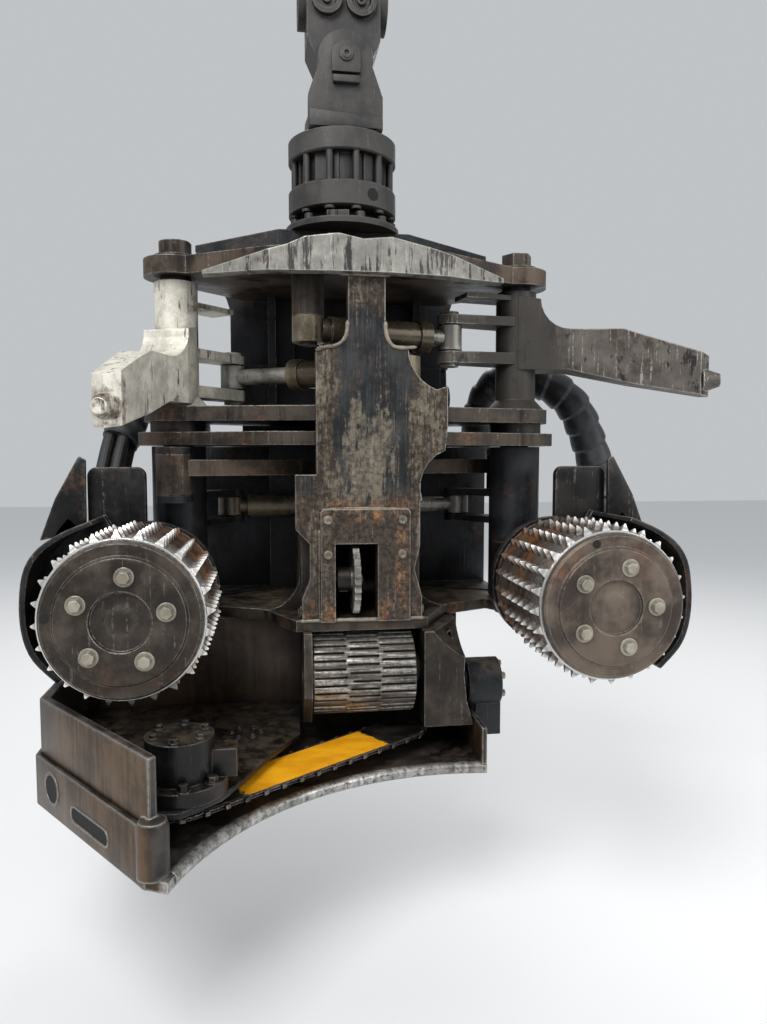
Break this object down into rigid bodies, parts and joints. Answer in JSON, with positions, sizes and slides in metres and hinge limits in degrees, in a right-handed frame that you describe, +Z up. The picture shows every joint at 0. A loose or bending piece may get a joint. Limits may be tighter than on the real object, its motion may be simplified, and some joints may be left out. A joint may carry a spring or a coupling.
{
  "type": "harvester head",
  "caption": "Timber harvester head hanging upright on its rotator and knuckle link, with delimbing knives, spiked feed rollers and a saw box.",
  "frame": {"origin": "centre of the crane-tip pin bore through the top of the knuckle link", "axes": "+Z up, +X along the crane-tip pin to the right as seen from the log side, the side that grips the log faces -Y"},
  "size_m": [1.5716, 1.2677, 1.912],
  "materials": {
    "worn_steel": "worn, greasy brown-black steel",
    "dark_steel": "dark grey cast steel, oily",
    "bare_steel": "polished bare steel",
    "rod_chrome": "chromed piston rod",
    "cream_paint": "chipped cream paint over brown steel",
    "tan_steel": "oily tan steel",
    "bar_paint": "yellow-orange paint"
  },
  "bodies": {
    "link": {"crane_link": "dark_steel"},
    "rotator": {"rotator_ears": "dark_steel", "swing_pin": "worn_steel", "rotator_body": "dark_steel"},
    "hanger": {"rotor_flange": "dark_steel", "hanger": "dark_steel", "tilt_pins": "worn_steel"},
    "tilt_barrel": {"tilt_barrels": "tan_steel"},
    "tilt_rod": {"tilt_rods": "rod_chrome"},
    "frame": {"spine_plate": "worn_steel", "top_plate": "worn_steel", "fixed_knife": "bare_steel", "knife_shelf": "worn_steel", "middle_plate": "worn_steel", "core_box": "worn_steel", "bottom_plate": "worn_steel", "back_wall": "worn_steel", "valve_block": "dark_steel", "knife_pin_left": "worn_steel", "knife_pin_right": "worn_steel", "cylinder_pins": "worn_steel", "slide_plate": "tan_steel", "measuring_arm": "dark_steel", "roller_cheeks": "worn_steel", "frame_roller_motor": "dark_steel", "saw_box": "worn_steel", "saw_motor_plate": "worn_steel", "skid_plate": "worn_steel", "saw_motor": "dark_steel"},
    "knife_left": {"knife_left": "cream_paint"},
    "knife_right": {"knife_right": "worn_steel"},
    "knife_barrel_left": {"knife_barrel_left": "tan_steel"},
    "knife_barrel_right": {"knife_barrel_right": "tan_steel"},
    "knife_rod_left": {"knife_rod_left": "rod_chrome"},
    "knife_rod_right": {"knife_rod_right": "rod_chrome"},
    "arm_left": {"arm_left": "worn_steel", "roller_guard_left": "dark_steel", "roller_motor_left": "dark_steel"},
    "arm_right": {"arm_right": "worn_steel", "roller_guard_right": "dark_steel", "roller_motor_right": "dark_steel"},
    "feed_roller_left": {"feed_roller_left": "worn_steel", "roller_cover_left": "worn_steel"},
    "feed_roller_right": {"feed_roller_right": "worn_steel", "roller_cover_right": "worn_steel"},
    "timing_link": {"timing_link": "worn_steel"},
    "arm_barrel": {"arm_barrel": "tan_steel"},
    "arm_rod": {"arm_rod": "rod_chrome"},
    "frame_roller": {"frame_roller": "bare_steel"},
    "measuring_wheel": {"measuring_wheel": "bare_steel"},
    "saw_bar": {"saw_bar": "bar_paint", "saw_chain": "dark_steel"}
  },
  "joints": [
    {"name": "link_swing", "type": "hinge", "parent": "link", "child": "rotator", "pos_m": [0, 0, -0.18], "axis": [0, 1, 0], "range_deg": [-40, 40]},
    {"name": "rotator_turn", "type": "hinge", "parent": "rotator", "child": "hanger", "pos_m": [0, 0, -0.512], "axis": [0, 0, 1], "continuous": true},
    {"name": "head_tilt", "type": "hinge", "parent": "hanger", "child": "frame", "pos_m": [0, 0.11, -1.01], "axis": [1, 0, 0], "range_deg": [0, 90]},
    {"name": "tilt_barrel_turn", "type": "hinge", "parent": "hanger", "child": "tilt_barrel", "pos_m": [0, 0.31, -0.68], "axis": [1, 0, 0], "range_deg": [-11, 1]},
    {"name": "tilt_rod_slide", "type": "slide", "parent": "tilt_barrel", "child": "tilt_rod", "axis": [0, -0.2715, -0.9624], "range_m": [-0.145, 0.001]},
    {"name": "knife_left_close", "type": "hinge", "parent": "frame", "child": "knife_left", "pos_m": [-0.41, -0.23, -0.915], "axis": [0, 0, 1], "range_deg": [-62, 40]},
    {"name": "knife_right_close", "type": "hinge", "parent": "frame", "child": "knife_right", "pos_m": [0.41, -0.23, -0.915], "axis": [0, 0, -1], "range_deg": [-3, 99]},
    {"name": "knife_barrel_left_turn", "type": "hinge", "parent": "frame", "child": "knife_barrel_left", "pos_m": [0.11, -0.345, -0.975], "axis": [0, 0, 1], "range_deg": [-5, 8]},
    {"name": "knife_barrel_right_turn", "type": "hinge", "parent": "frame", "child": "knife_barrel_right", "pos_m": [-0.11, -0.345, -0.89], "axis": [0, 0, -1], "range_deg": [-22.5, 1]},
    {"name": "knife_rod_left_slide", "type": "slide", "parent": "knife_barrel_left", "child": "knife_rod_left", "axis": [-0.8489, 0.5285, 0], "range_m": [-0.131, 0.085]},
    {"name": "knife_rod_right_slide", "type": "slide", "parent": "knife_barrel_right", "child": "knife_rod_right", "axis": [0.9735, 0.2287, 0], "range_m": [-0.007, 0.214]},
    {"name": "arm_left_close", "type": "hinge", "parent": "frame", "child": "arm_left", "pos_m": [-0.41, -0.23, -1.336], "axis": [0, 0, 1], "range_deg": [-12, 30]},
    {"name": "arm_right_close", "type": "hinge", "parent": "frame", "child": "arm_right", "pos_m": [0.41, -0.23, -1.336], "axis": [0, 0, -1], "range_deg": [-12, 30]},
    {"name": "feed_roller_left_spin", "type": "hinge", "parent": "arm_left", "child": "feed_roller_left", "pos_m": [-0.46, -0.55, -1.463], "axis": [0, 1, 0], "continuous": true},
    {"name": "feed_roller_right_spin", "type": "hinge", "parent": "arm_right", "child": "feed_roller_right", "pos_m": [0.46, -0.55, -1.463], "axis": [0, 1, 0], "continuous": true},
    {"name": "timing_link_turn", "type": "hinge", "parent": "arm_left", "child": "timing_link", "pos_m": [-0.41, -0.342, -1.213], "axis": [0, 0, 1], "range_deg": [-32, 13]},
    {"name": "arm_barrel_turn", "type": "hinge", "parent": "arm_left", "child": "arm_barrel", "pos_m": [-0.3, -0.08, -1.3005], "axis": [0, 0, 1], "range_deg": [-30.5, 12.5]},
    {"name": "arm_rod_slide", "type": "slide", "parent": "arm_barrel", "child": "arm_rod", "axis": [1, 0, 0], "range_m": [-0.071, 0.173]},
    {"name": "frame_roller_spin", "type": "hinge", "parent": "frame", "child": "frame_roller", "pos_m": [0, -0.4, -1.655], "axis": [1, 0, 0], "continuous": true},
    {"name": "measuring_wheel_spin", "type": "hinge", "parent": "frame", "child": "measuring_wheel", "pos_m": [-0.015, -0.425, -1.443], "axis": [1, 0, 0], "continuous": true},
    {"name": "saw_bar_swing", "type": "hinge", "parent": "frame", "child": "saw_bar", "pos_m": [-0.36, -0.74, -1.792], "axis": [0, 0, -1], "range_deg": [0, 95]}
  ],
  "couplings": [
    {"joint": "tilt_barrel_turn", "follows": "head_tilt", "ratio": -0.11},
    {"joint": "tilt_rod_slide", "follows": "head_tilt", "m_per_rad": -0.09167},
    {"joint": "knife_barrel_left_turn", "follows": "knife_left_close", "ratio": -0.12},
    {"joint": "knife_rod_left_slide", "follows": "knife_left_close", "m_per_rad": 0.12032},
    {"joint": "knife_barrel_right_turn", "follows": "knife_right_close", "ratio": -0.22},
    {"joint": "knife_rod_right_slide", "follows": "knife_right_close", "m_per_rad": 0.12319},
    {"joint": "arm_right_close", "follows": "arm_left_close", "ratio": 1},
    {"joint": "timing_link_turn", "follows": "arm_left_close", "ratio": -1.05},
    {"joint": "arm_barrel_turn", "follows": "arm_left_close", "ratio": -1},
    {"joint": "arm_rod_slide", "follows": "arm_left_close", "m_per_rad": 0.32659}
  ]
}
